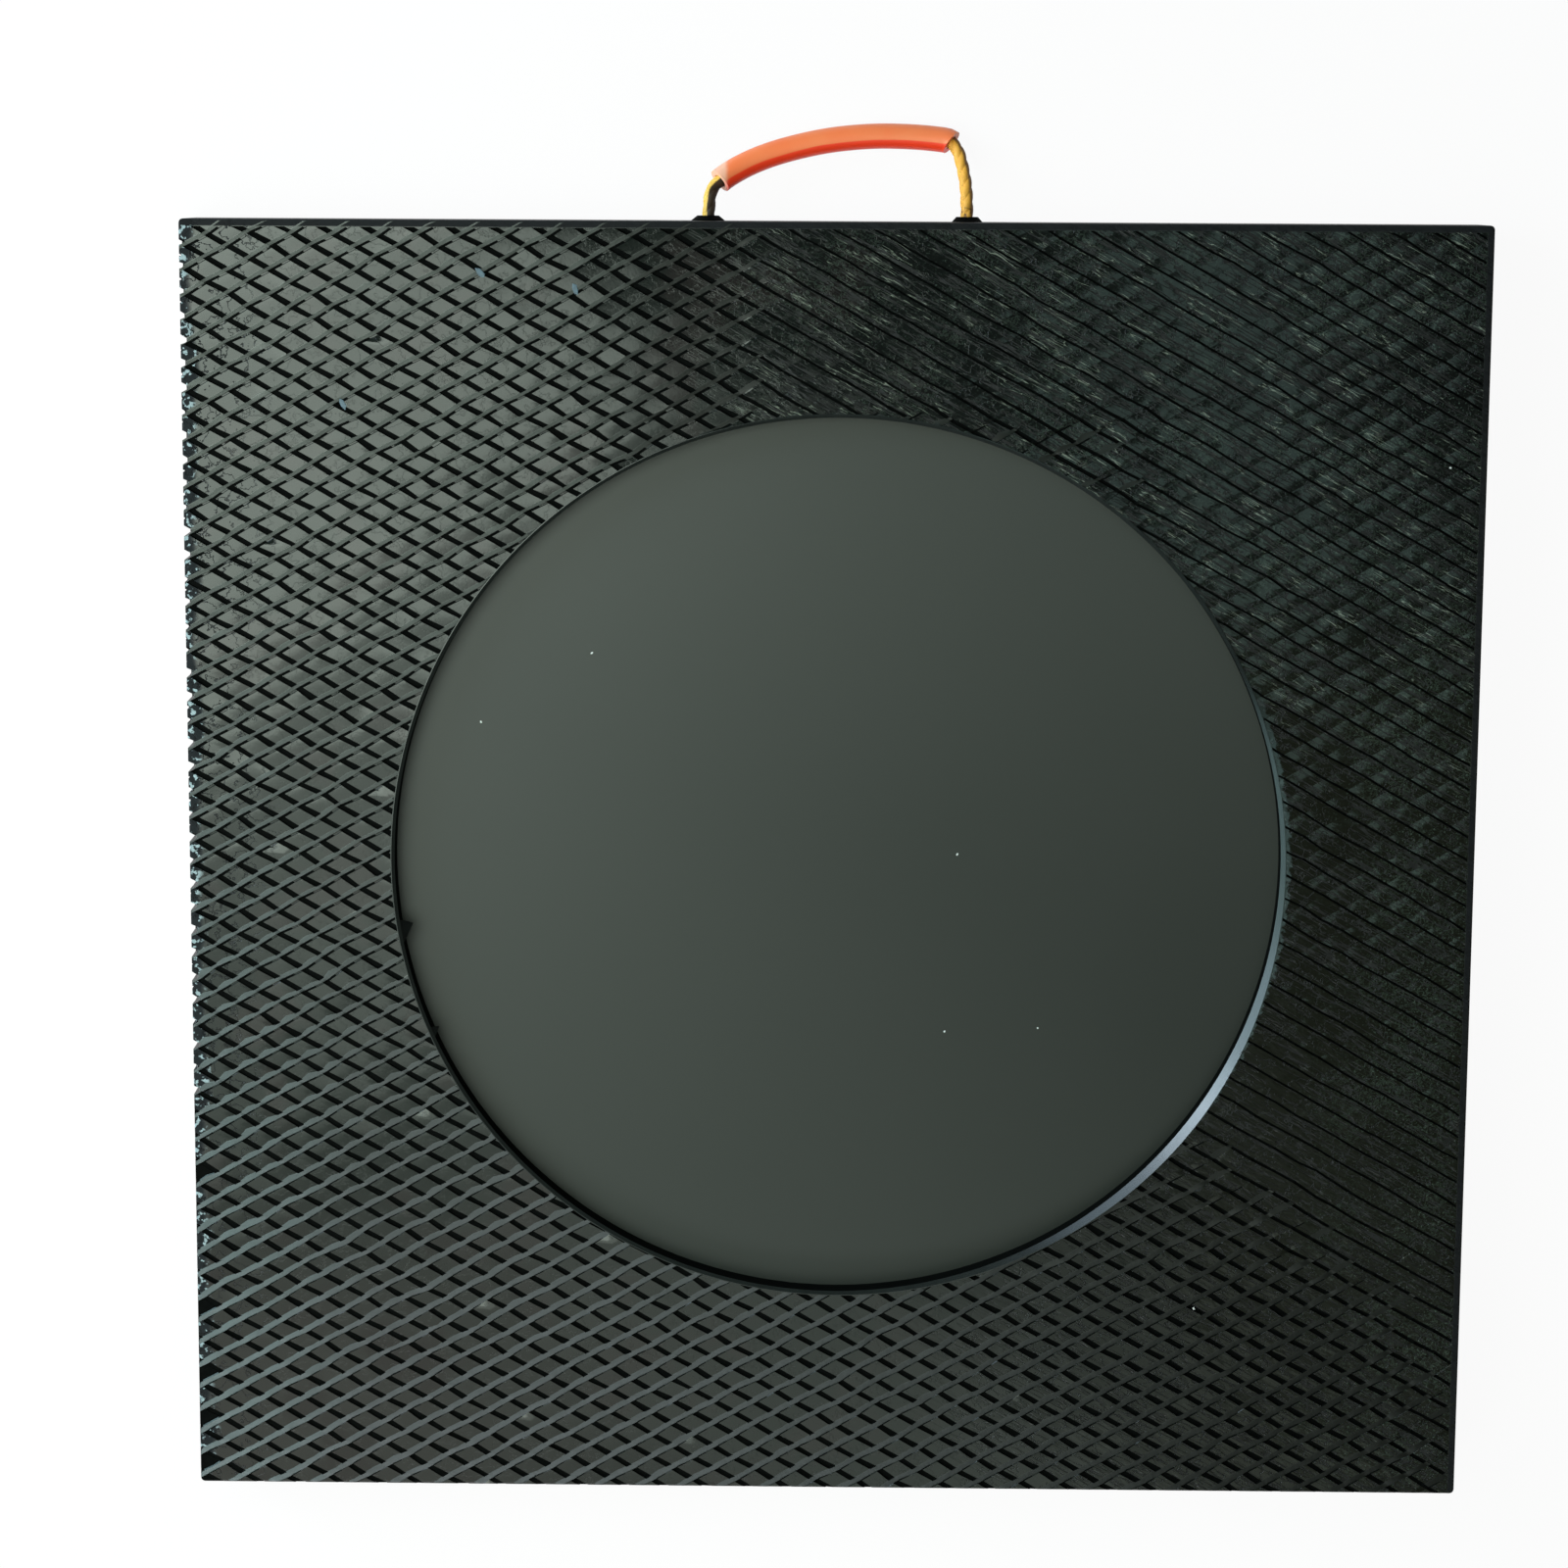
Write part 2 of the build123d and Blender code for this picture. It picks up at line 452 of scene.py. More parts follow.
def relief_slab(bottom_z):
    """The net of grooves as a closed slab that reaches past the pad's outline and the seat's wall."""
    x, y, height, chipped, flatter = relief_surface()
    faces, kinds = relief_faces(x, y, chipped, flatter)
    used, inverse = np.unique(faces, return_inverse=True)
    faces = inverse.reshape(faces.shape)
    top = np.stack([x.ravel(), y.ravel(), face_z + height.ravel()], axis=1)[used]
    foot = top.copy()
    foot[:, 2] = bottom_z
    count = len(used)
    edges = np.concatenate([faces[:, [k, (k + 1) % 4]] for k in range(4)])
    forward = edges[:, 0] * count + edges[:, 1]
    backward = edges[:, 1] * count + edges[:, 0]
    rim = edges[~np.isin(forward, backward)]
    skirt = np.stack([rim[:, 1], rim[:, 0], rim[:, 0] + count, rim[:, 1] + count], axis=1)
    below = faces[:, ::-1] + count
    vertices = np.concatenate([top, foot]) * MM
    slab = mesh_piece("relief", vertices, np.concatenate([faces, below, skirt]))
    for material in pad_materials:
        slab.data.materials.append(material)
    kinds = np.concatenate([kinds, np.full(len(below) + len(skirt), on_edge)])
    slab.data.polygons.foreach_set("material_index", kinds.astype(np.int32))
    return slab


def worn_width(turn):
    """How wide the worn slope inside the seat's rim is; it is widest at the lower right."""
    widest = math.radians(325.0)
    extra_width = 2.3
    spread = 0.55
    apart = math.remainder(turn - widest, 2 * math.pi)
    return slope_width + extra_width * math.exp(-((apart / spread) ** 2))


def seat_point(radius, turn, z):
    """A point so far from the seat's axis, in metres."""
    x = seat_floor.x + radius * math.cos(turn)
    y = seat_floor.y + radius * math.sin(turn)
    return Vector((x, y, z)) * MM


def seat_ring(share, beyond, z, drop=0.0):
    """A ring at a share of the worn slope's width from the seat's wall, and so much further out."""
    sides = 256
    ring = []
    for step in range(sides):
        turn = 2 * math.pi * step / sides
        width = worn_width(turn)
        ring.append(seat_point(seat_radius + share * width + beyond, turn, z - drop * width))
    return ring


def seat_rim():
    """The thin whole rim round the seat, with its inner edge worn to a slope."""
    foot_z = seat_floor.z - 1.0
    # Share of the slope's width, how much further out, height, and drop for each width
    profile = [
        (0, 0.0, foot_z, 0.0),
        (0, 0.0, pad_thickness, slope_steepness),
        (1, 0.0, pad_thickness, 0.0),
        (1, 0.33, pad_thickness - 0.05, 0.0),
        (1, 0.45, pad_thickness - 0.35, 0.0),
        (1, 0.45, foot_z, 0.0),
    ]
    return stacked_rings("seat_rim", [seat_ring(*place) for place in profile], joined=True)


def burr(around, length, reach):
    """A flake of plastic that stands out from the rim over the seat; around is its angle."""
    root = 0.6
    corners = [(around, reach), (around + length, -root), (around - 0.3 * length, -root)]
    rings = []
    for z in (pad_thickness - 2.2, pad_thickness - 1.3):
        rings.append([seat_point(seat_radius - inwards, turn, z) for turn, inwards in corners])
    return stacked_rings("burr", rings)


def edge_bites():
    """Cutters for the bites along the left edge: one at each slot's end, and a smaller one between
    each two."""
    vertices = []
    faces = []
    left = -pad_width / 2
    reach = 2 * math.ceil(pad_depth / groove_spacing)
    for step in range(-reach, reach):
        across = falling_offset + step / 2 * groove_spacing
        y = (across - left * math.sin(groove_angle)) / math.cos(groove_angle) + pad_y
        if not -110.0 < y < edge_y - 6.0:
            continue
        size = random_numbers.uniform(0.8, 1.4) if step % 2 == 0 else random_numbers.uniform(0.1, 0.6)
        depth = 2.6 * size
        foot_z = pad_thickness - size * random_numbers.uniform(9.0, 14.0)
        lean = random_numbers.uniform(-1.0, 1.0)
        start = len(vertices)
        for z, share in ((foot_z, 0.35), (pad_thickness + 3.0, 1.25)):
            corners = [
                (left - 2.0, y - depth),
                (left + depth * share * 0.7, y - depth * 0.5 + lean * 0.3),
                (left + depth * share, y + lean),
                (left - 2.0, y + depth),
            ]
            vertices += [Vector((corner_x, corner_y, z)) * MM for corner_x, corner_y in corners]
        faces += ring_faces(4, 2, start)
    return mesh_piece("edge_bites", vertices, faces)


def envelope():
    """What the pad stays inside: its outline with a chamfer below and a worn rounding above."""
    rings = [outline_ring(edge_chamfer, 0.0), outline_ring(0.0, edge_chamfer)]
    for step in range(5):
        turn = math.pi / 2 * step / 4
        inset = edge_chamfer * (1 - math.cos(turn))
        rings.append(outline_ring(inset, face_z - edge_chamfer * (1 - math.sin(turn))))
    rings.append(outline_ring(edge_chamfer + 0.3, pad_thickness))
    return stacked_rings("envelope", rings)


def grooved_plate():
    """The plate with its net and the plain bands, up to its outline."""
    past = 8.0
    core_top = face_z - slot_depth * 1.15 - 0.3
    reach_x = pad_width / 2 + past
    reach_y = pad_depth / 2 + past
    plate = relief_slab(core_top - 0.6)
    core = box_piece("core", (-reach_x, pad_y - reach_y, -4.0), (reach_x, pad_y + reach_y, core_top))
    combine(plate, core, "UNION")
    band_z = face_z - band_drop
    far_low = (-reach_x, edge_y - band_width, core_top - 1.0)
    combine(plate, box_piece("far_band", far_low, (reach_x, edge_y + past, band_z)), "UNION")
    right_low = (pad_width / 2 - band_width, pad_y - reach_y, core_top - 1.0)
    combine(plate, box_piece("right_band", right_low, (reach_x, edge_y, band_z)), "UNION")
    combine(plate, envelope(), "INTERSECT")
    return plate


def add_rope_way(pad, x, lip_radius):
    """A rope hole with its lip, and the knot pocket behind it."""
    lip_root = 2.0
    start = (x, edge_y - lip_root, hole_height)
    end = (x, edge_y + lip_height, hole_height)
    combine(pad, round_bar("lip", start, end, lip_radius + lip_root, lip_top_radius), "UNION")
    inside = (x, rope_end_y - 4.0, hole_height)
    outside = (x, edge_y + lip_height + 2.0, hole_height)
    combine(pad, round_bar("hole", inside, outside, hole_radius, hole_radius), "DIFFERENCE")
    low = (x - pocket_width / 2, rope_end_y - pocket_length, -3.0)
    high = (x + pocket_width / 2, rope_end_y, pocket_depth)
    combine(pad, box_piece("pocket", low, high), "DIFFERENCE")


def pad_mesh():
    pad = grooved_plate()
    seat_rings = [seat_ring(1, 0.15, z) for z in (seat_floor.z, pad_thickness + 5.0)]
    combine(pad, stacked_rings("seat_space", seat_rings), "DIFFERENCE")
    combine(pad, seat_rim(), "UNION")
    combine(pad, edge_bites(), "DIFFERENCE")
    for degrees, length, reach in burrs:
        combine(pad, burr(math.radians(degrees), length, reach), "UNION")
    add_rope_way(pad, left_x, left_lip_radius)
    add_rope_way(pad, right_x, right_lip_radius)
    pad.name = pad.data.name = "pad_net"
    shade_smooth(pad, 32)
    return pad


# Rope, hose and crumbs


def tube(name, frames, radius, sides, inner=None):
    """A tube through frames of (place, side, other side), with a bore when inner is given."""
    rings = [round_ring(*there, radius, sides) for there in frames]
    if inner is None:
        return stacked_rings(name, rings)
    bore = [round_ring(*there, inner, sides) for there in frames]
    return stacked_rings(name, rings + bore[::-1], joined=True)


def twisted_rope():
    """Three strands laid round each other from knot to knot."""
    strands = 3
    rope_radius = rope_diameter / 2 * MM
    strand_radius = rope_radius * 0.76
    lay_radius = rope_radius - strand_radius
    pitch = 3.4 * rope_diameter * MM
    stations = np.arange(0.0, rope_line.length, 0.9 * MM)
    frames = rope_line.frames(stations)
    vertices = []
    faces = []
    for strand in range(strands):
        start = 2 * math.pi * strand / strands
        centres = []
        for at, (place, side, other) in zip(stations, frames):
            turn = start + 2 * math.pi * at / pitch
            outward = side * math.cos(turn) + other * math.sin(turn)
            centres.append((place + outward * lay_radius, outward, outward.cross(side.cross(other))))
        piece = tube("strand", centres, strand_radius, 12)
        offset = len(vertices)
        vertices += [v.co.copy() for v in piece.data.vertices]
        faces += [tuple(offset + k for k in p.vertices) for p in piece.data.polygons]
        bpy.data.objects.remove(piece)
    rope = mesh_piece("rope_strands", vertices, faces, smooth_angle=50)
    mark_inner_side(rope)
    return rope


def mark_inner_side(piece):
    """Keeps for each point how far it lies towards the loop's inside, in rope radii."""
    samples = 400
    centres = np.array([rope_line.place(at) for at in np.linspace(0, rope_line.length, samples)])
    sides = piece.data.attributes.new("inner_side", "FLOAT", "POINT")
    for vertex, side in zip(piece.data.vertices, sides.data):
        nearest = int(np.argmin(((centres - np.array(vertex.co)) ** 2).sum(axis=1)))
        ahead = centres[min(nearest + 1, samples - 1)]
        along = Vector(ahead - centres[max(nearest - 1, 0)])
        inward = along.cross(Vector((0.0, 0.0, 1.0))).normalized()
        side.value = (vertex.co - Vector(centres[nearest])).dot(inward) / (rope_diameter / 2 * MM)


def hose():
    """The length of hose on the rope, cut square at both ends."""
    bore_radius = rope_diameter / 2 * MM * 1.12
    stations = np.linspace(grip_start * MM, (grip_start + grip_length) * MM, 60)
    frames = rope_line.frames(stations)
    piece = tube("hose_sleeve", frames, grip_diameter / 2 * MM, 32, inner=bore_radius)
    shade_smooth(piece, 40)
    mark_inner_side(piece)
    return piece


def crumbs(name, places, length, width, finish):
    """Flat chips that lie on the pad; places are (x, y, z) of their undersides."""
    corner_count = 6
    thickness = 0.1
    vertices = []
    faces = []
    for x, y, z in places:
        turn = random_numbers.uniform(0.0, math.pi)
        start = len(vertices)
        for rise, share in ((0.0, 1.0), (thickness, 0.7)):
            for corner in range(corner_count):
                around = 2 * math.pi * corner / corner_count
                stretch = share * random_numbers.uniform(0.6, 1.2)
                along = length / 2 * math.cos(around) * stretch
                across = width / 2 * math.sin(around) * stretch
                corner_x = x + along * math.cos(turn) - across * math.sin(turn)
                corner_y = y + along * math.sin(turn) + across * math.cos(turn)
                vertices.append(Vector((corner_x, corner_y, z + rise)) * MM)
        faces += ring_faces(corner_count, 2, start)
    piece = mesh_piece(name, vertices, faces)
    piece.data.materials.append(finish)
    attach(piece, "root")


# Materials


class Value:
    """A socket's value over the surface; arithmetic on it adds Math nodes."""

    def __init__(self, finish, socket):
        self.finish = finish
        self.socket = socket

    def math(self, operation, *others, clamp=False):
        values = dict(enumerate((self, *others)))
        return self.finish.node("ShaderNodeMath", {"operation": operation, "use_clamp": clamp}, values)

    def __add__(self, other):
        return self.math("ADD", other)

    __radd__ = __add__

    def __mul__(self, other):
        return self.math("MULTIPLY", other)

    __rmul__ = __mul__

    def __sub__(self, other):
        return self.math("SUBTRACT", other)

    def __rsub__(self, other):
        return (self * -1.0).math("ADD", other)

    def __truediv__(self, other):
        return self.math("DIVIDE", other)

    def __pow__(self, other):
        return self.math("POWER", other)

    def clamped(self):
        return self.math("ADD", 0.0, clamp=True)


class Finish:
    """One procedural material. Its nodes read the place on the object in metres."""

    def __init__(self, name):
        self.material = bpy.data.materials.new(name)
        self.material.use_nodes = True
        self.nodes = self.material.node_tree.nodes
        self.links = self.material.node_tree.links
        self.nodes.clear()
        self.place = self.node("ShaderNodeTexCoord", output="Object")

    def node(self, kind, settings=None, inputs=None, output=0):
        """Any node: its settings first, then the values or links of its sockets."""
        made = self.nodes.new(kind)
        for key, value in (settings or {}).items():
            setattr(made, key, value)
        for key, value in (inputs or {}).items():
            if isinstance(value, Value):
                self.links.new(value.socket, made.inputs[key])
            else:
                made.inputs[key].default_value = value
        return Value(self, made.outputs[output])

    def noise(self, scale, detail=2.0, roughness=0.5, distortion=0.0, place=None):
        inputs = {
            "Vector": place or self.place,
            "Scale": scale,
            "Detail": detail,
            "Roughness": roughness,
            "Distortion": distortion,
        }
        return self.node("ShaderNodeTexNoise", {}, inputs)

    def step(self, value, low, high):
        """0 below low, 1 above high, and smooth between."""
        settings = {"interpolation_type": "SMOOTHSTEP"}
        inputs = {"Value": value, "From Min": low, "From Max": high}
        return self.node("ShaderNodeMapRange", settings, inputs)

    def near_middle(self, noise, near, far):
        """1 on thin lines, where a noise crosses its middle value, and 0 away from them."""
        return 1.0 - self.step((noise - 0.5).math("ABSOLUTE"), near, far)

    def mix(self, factor, first, second):
        """From the first colour to the second; each is a value or its red, green and blue."""
        first, second = (c if isinstance(c, Value) else (*c, 1.0) for c in (first, second))
        return self.node("ShaderNodeMix", {"data_type": "RGBA"}, {0: factor, 6: first, 7: second}, 2)

    def axes(self):
        """The X, Y and Z of the place."""
        split = self.node("ShaderNodeSeparateXYZ", {}, {0: self.place})
        outputs = split.socket.node.outputs
        return [Value(self, outputs[k]) for k in range(3)]

    def stretched(self, lengths, turn=0.0):
        """The place for a pattern that is drawn out by these lengths along axes turned about Z."""
        inputs = {"Vector": self.place, "Rotation": (0.0, 0.0, turn), "Scale": lengths}
        return self.node("ShaderNodeMapping", {"vector_type": "TEXTURE"}, inputs)

    def from_seat(self):
        """The distance from the seat's axis, and the share of it along a line to the lower right."""
        x, y = self.axes()[:2]
        right = x - seat_floor.x * MM
        far = y - seat_floor.y * MM
        distance = (right * right + far * far) ** 0.5
        lean = math.radians(-8.0)
        return distance, (right * math.cos(lean) + far * math.sin(lean)) / distance

    def rim_highlight(self):
        """1 on the ragged pale band outside the seat's right-hand rim, a painted bluish highlight."""
        distance, rightward = self.from_seat()
        ragged = (self.noise(320.0, detail=4.0, roughness=0.65) - 0.5) * (9 * MM)
        inside = 1.0 - self.step(distance + ragged, (seat_radius + 3.6) * MM, (seat_radius + 4.8) * MM)
        return inside * self.step(rightward, 0.82, 0.96)

    def dark_middle(self, far, right):
        """1 in the dark middle of the far side, which fades in beyond one line and right of another."""
        x, y = self.axes()[:2]
        beyond = self.step(y + x * 0.4, far[0] * MM, far[1] * MM)
        return beyond * self.step(x, right[0] * MM, right[1] * MM)

    def inner_side(self):
        """How far a point of the rope or hose lies towards the loop's inside, in rope radii."""
        settings = {"attribute_type": "GEOMETRY", "attribute_name": "inner_side"}
        return self.node("ShaderNodeAttribute", settings, output="Fac")

    def bump(self, height, distance, strength, normal=None):
        inputs = {"Height": height, "Distance": distance, "Strength": strength}
        if normal is not None:
            inputs["Normal"] = normal
        return self.node("ShaderNodeBump", {}, inputs)

    def surface(self, **inputs):
        """Ends the material in one Principled shader with these sockets."""
        named = {key.replace("_", " "): value for key, value in inputs.items()}
        shader = self.node("ShaderNodeBsdfPrincipled", {}, named)
        self.end_in(shader)
        return self.material

    def end_in(self, shader):
        output = self.nodes.new("ShaderNodeOutputMaterial")
        self.links.new(shader.socket, output.inputs["Surface"])


def grooved_plastic():
    """Tops between the grooves: greasy black polyethylene with scratches, cracks, grit and dust."""
    finish = Finish("grooved_plastic")
    x, y = finish.axes()[:2]
    mottle = finish.noise(55.0, detail=4.0, roughness=0.6)
    grain = finish.noise(900.0, detail=3.0, roughness=0.7)
    patches = finish.noise(24.0, detail=3.0)
    falling = finish.stretched((14.0, 1.0, 1.0), -groove_angle)
    lines = finish.noise(230.0, detail=3.0, roughness=0.6, distortion=0.25, place=falling)
    blocks = finish.noise(150.0, detail=3.0, place=finish.stretched((2.6, 1.0, 1.0), -groove_angle))
    # Where on the pad: the dark middle of the far side, the right side, and the chipped left edge
    dark_middle = finish.dark_middle((110, 215), (-75, -15))
    right = finish.step(x + patches * (60 * MM), 235 * MM, 320 * MM)
    right_half = finish.step(x + patches * (80 * MM), 60 * MM, 260 * MM)
    left = 1.0 - finish.step(x + patches * (16 * MM), -288 * MM, -284 * MM)
    left_cracks = 1.0 - finish.step(x + patches * (40 * MM), -270 * MM, -240 * MM)
    rough_and_shaded_side = (dark_middle + right_half).clamped()
    band_fade = 0.5
    right_start = pad_width / 2 - band_width
    far_start = edge_y - band_width
    right_band = finish.step(x, right_start * MM, (right_start + band_fade) * MM)
    far_band = finish.step(y, far_start * MM, (far_start + band_fade) * MM)
    bands = (right_band + far_band).clamped()
    # Marks
    scratched = finish.near_middle(lines, 0.003, 0.010) * dark_middle
    scratched = scratched * finish.step(mottle, 0.46, 0.58)
    streaks = finish.noise(330.0, detail=3.0, place=falling)
    streaks = finish.near_middle(streaks, 0.006, 0.030) * rough_and_shaded_side
    cracks = finish.near_middle(finish.noise(85.0, detail=4.0, roughness=0.6), 0.004, 0.012)
    cracks = cracks * (left_cracks + right_half * 0.8 + 0.12).clamped()
    crackle = finish.near_middle(finish.noise(260.0, detail=5.0, roughness=0.65), 0.006, 0.030)
    crackle = crackle * (right + dark_middle * 0.8).clamped() * finish.step(patches, 0.40, 0.60)
    grit = finish.step(grain, 0.56, 0.72)
    speckled = grit * (right + dark_middle * 0.4).clamped()
    painted_glints = finish.noise(330.0, detail=2.0)
    broken = (cracks + streaks).clamped()
    # Colours
    base = finish.mix(mottle, (0.0030, 0.0054, 0.0042), (0.0048, 0.0076, 0.0062))
    olive = right_half * (1.0 - finish.step(y, 60 * MM, 220 * MM))
    base = finish.mix(olive, base, (0.0056, 0.0068, 0.0036))
    # A darker base in the dark middle and the right half: painted shade.
    base = finish.mix(rough_and_shaded_side * (1.0 - olive), base, (0.0018, 0.0034, 0.0028))
    near_left = (1.0 - finish.step(x, -260 * MM, 40 * MM)) * (1.0 - finish.step(y, -260 * MM, -120 * MM))
    base = finish.mix(near_left * 0.8, base, (0.0250, 0.0220, 0.0200))
    brown = finish.step(patches, 0.50, 0.62) * (1.0 - finish.step(x, -60 * MM, 120 * MM))
    base = finish.mix(brown * 0.6, base, (0.0130, 0.0095, 0.0090))
    base = finish.mix(grit * 0.3, base, (0.018, 0.026, 0.020))
    base = finish.mix(speckled * 0.6, base, (0.100, 0.140, 0.110))
    base = finish.mix(crackle * 0.45, base, (0.060, 0.085, 0.064))
    base = finish.mix(scratched * 0.85, base, (0.180, 0.200, 0.160))
    base = finish.mix(left * 0.95, base, (0.0022, 0.0042, 0.0056))
    # Pale blue-white patches along the left edge: painted highlights.
    base = finish.mix(finish.step(painted_glints, 0.55, 0.62) * left, base, (0.260, 0.330, 0.350))
    base = finish.mix(broken * 0.85, base, (0.0005, 0.0007, 0.0006))
    # A painted bluish highlight outside the seat's right-hand rim.
    base = finish.mix(finish.rim_highlight() * 0.8, base, (0.056, 0.080, 0.078))
    base = finish.mix(bands, base, (0.0016, 0.0024, 0.0030))
    roughness = 0.10 + mottle * 0.06 + grit * 0.10 + broken * 0.5 + (left + bands) * 0.8
    relief = finish.bump(grain, 0.00006, 0.35)
    relief = finish.bump(blocks * rough_and_shaded_side, 0.0006, 0.6, relief)
    relief = finish.bump(1.0 - broken, 0.00030, 0.8, relief)
    return finish.surface(
        Base_Color=base, Roughness=roughness, Specular_IOR_Level=0.44, Normal=relief
    )


def slot_plastic():
    """The bottoms of slots and valleys, black with almost no gloss: some dirt, and a painted shade."""
    finish = Finish("slot_plastic")
    dirt = finish.noise(300.0, detail=3.0)
    base = finish.mix(dirt, (0.0006, 0.0008, 0.0007), (0.0030, 0.0036, 0.0032))
    return finish.surface(Base_Color=base, Roughness=0.75, Specular_IOR_Level=0.03)


def ramp_plastic():
    """The cutter's ramps: paler and a little blue on the left, a painted reflection, and black on the
    right.
    """
    finish = Finish("ramp_plastic")
    x, y = finish.axes()[:2]
    mottle = finish.noise(70.0, detail=3.0)
    wave = finish.noise(240.0, detail=2.0)
    # Paler and bluish on the left: a painted reflection.
    painted_sheen = 1.0 - finish.step(x, -170 * MM, 210 * MM)
    near = 1.0 - finish.step(y, -290 * MM, 200 * MM)
    pale = finish.mix(near, (0.052, 0.060, 0.054), (0.050, 0.056, 0.060))
    palest = (1.0 - finish.step(x, -290 * MM, -210 * MM)) * near
    pale = finish.mix(palest, pale, (0.095, 0.125, 0.130))
    dark_middle = finish.dark_middle((100, 160), (-125, -65))
    painted_sheen = painted_sheen * (1.0 - dark_middle)
    base = finish.mix(painted_sheen * (0.55 + mottle * 0.7), (0.0052, 0.0070, 0.0052), pale)
    # A painted bluish highlight outside the seat's right-hand rim.
    base = finish.mix(finish.rim_highlight() * 0.8, base, (0.056, 0.080, 0.078))
    relief = finish.bump(wave, 0.00030, 0.5)
    return finish.surface(Base_Color=base, Roughness=0.26 + mottle * 0.12, Normal=relief)


def milled_plastic():
    """The seat's floor: the same plastic, milled flat and duller."""
    finish = Finish("milled_plastic")
    mottle = finish.noise(12.0, detail=3.0)
    grain = finish.noise(1400.0, detail=2.0)
    x, y = finish.axes()[:2]
    # Lighter towards the upper right: painted light.
    painted_light = finish.step(y + x * 0.5, -20 * MM, 260 * MM)
    base = finish.mix(mottle, (0.0128, 0.0166, 0.0126), (0.0154, 0.0186, 0.0146))
    base = finish.mix(painted_light, base, (0.0320, 0.0350, 0.0290))
    relief = finish.bump(grain, 0.00004, 0.25)
    return finish.surface(Base_Color=base, Roughness=0.44 + mottle * 0.06, Normal=relief)


def sawn_plastic():
    """Edges and underside: plain plastic with fine saw marks."""
    finish = Finish("sawn_plastic")
    marks = finish.noise(70.0, detail=4.0, place=finish.stretched((1.0, 1.0, 0.07)))
    mottle = finish.noise(25.0, detail=4.0)
    base = finish.mix(mottle, (0.0045, 0.0058, 0.0054), (0.0090, 0.0105, 0.0098))
    relief = finish.bump(marks, 0.00012, 0.4)
    return finish.surface(Base_Color=base, Roughness=0.42 + marks * 0.16, Normal=relief)


def rim_plastic():
    """The seat's worn rim, rubbed smooth by the feet that slide in."""
    finish = Finish("rim_plastic")
    rub = finish.noise(120.0, detail=3.0)
    base = finish.mix(rub, (0.0050, 0.0075, 0.0070), (0.0100, 0.0140, 0.0130))
    # A painted bluish highlight outside the seat's right-hand rim.
    base = finish.mix(finish.rim_highlight() * 0.9, base, (0.058, 0.080, 0.080))
    relief = finish.bump(rub, 0.00010, 0.3)
    return finish.surface(Base_Color=base, Roughness=0.20 + rub * 0.08, Normal=relief)


def rope_fibre():
    """Golden yellow fibre, black on the left leg's inner side and brown on the right one's outer side."""
    finish = Finish("rope_fibre")
    x, y = finish.axes()[:2]
    inner_side = finish.inner_side()
    fibres = finish.noise(1800.0, detail=3.0, roughness=0.6, place=finish.stretched((1.0, 4.0, 1.0)))
    stain = finish.noise(160.0, detail=4.0, roughness=0.6)
    on_right_leg = finish.step(x, -10 * MM, 10 * MM)
    left_dirt = finish.step(inner_side + stain * 0.5, -0.15, 0.10)
    right_dirt = finish.step(stain * 0.5 - inner_side, 0.55, 0.95)
    near_hole = 1.0 - finish.step(y, (edge_y + 4.0) * MM, (edge_y + 9.0) * MM)
    specks = finish.step(finish.noise(700.0, detail=2.0), 0.56, 0.62) * near_hole
    dirt = left_dirt * (1.0 - on_right_leg) + (right_dirt + specks) * on_right_leg * 0.85
    clean = finish.mix(fibres, (0.72, 0.36, 0.030), (0.98, 0.66, 0.14))
    golden = finish.mix(fibres, (0.78, 0.30, 0.020), (0.98, 0.54, 0.08))
    clean = finish.mix(on_right_leg, clean, golden)
    black = finish.mix(stain, (0.008, 0.006, 0.004), (0.060, 0.030, 0.010))
    soiled = finish.mix(on_right_leg, black, (0.120, 0.045, 0.008))
    base = finish.mix(dirt.clamped(), clean, soiled)
    relief = finish.bump(fibres, 0.00018, 0.5)
    return finish.surface(Base_Color=base, Roughness=0.50 + fibres * 0.2, Normal=relief)


def chip_plastic(name, first, second):
    """Loose chips in shades between two colours."""
    finish = Finish(name)
    shade = finish.noise(500.0, detail=2.0)
    base = finish.mix(shade, first, second)
    return finish.surface(Base_Color=base, Roughness=0.45 + shade * 0.2)


def orange_hose():
    """Soft hose, light orange above and saturated red on the pad's side, painted light and shade, and
    pale at its left end.
    """
    finish = Finish("orange_hose")
    bloom = finish.noise(60.0, detail=3.0)
    # Saturated red on the pad's side is painted shade, and the light orange above it is painted light.
    shaded_red = finish.step(finish.inner_side() + bloom * 0.3, 0.62, 0.86)
    rubs = finish.step(finish.noise(240.0, detail=5.0, roughness=0.7), 0.68, 0.78)
    lit_orange = finish.mix(bloom, (1.00, 0.180, 0.056), (1.00, 0.270, 0.098))
    base = finish.mix(rubs * 0.2, lit_orange, (0.88, 0.13, 0.05))
    base = finish.mix(shaded_red, base, (1.00, 0.050, 0.012))
    x = finish.axes()[0]
    frayed = 1.0 - finish.step(x + bloom * (2 * MM), -50.5 * MM, -48.0 * MM)
    base = finish.mix(frayed * 0.7, base, (1.00, 0.62, 0.45))
    relief = finish.bump(finish.noise(700.0, detail=2.0), 0.00008, 0.3)
    return finish.surface(Base_Color=base, Roughness=0.34 + bloom * 0.12, Normal=relief)


# The pieces in their finishes

pad_materials = [
    grooved_plastic(),
    slot_plastic(),
    ramp_plastic(),
    milled_plastic(),
    sawn_plastic(),
    rim_plastic(),
]


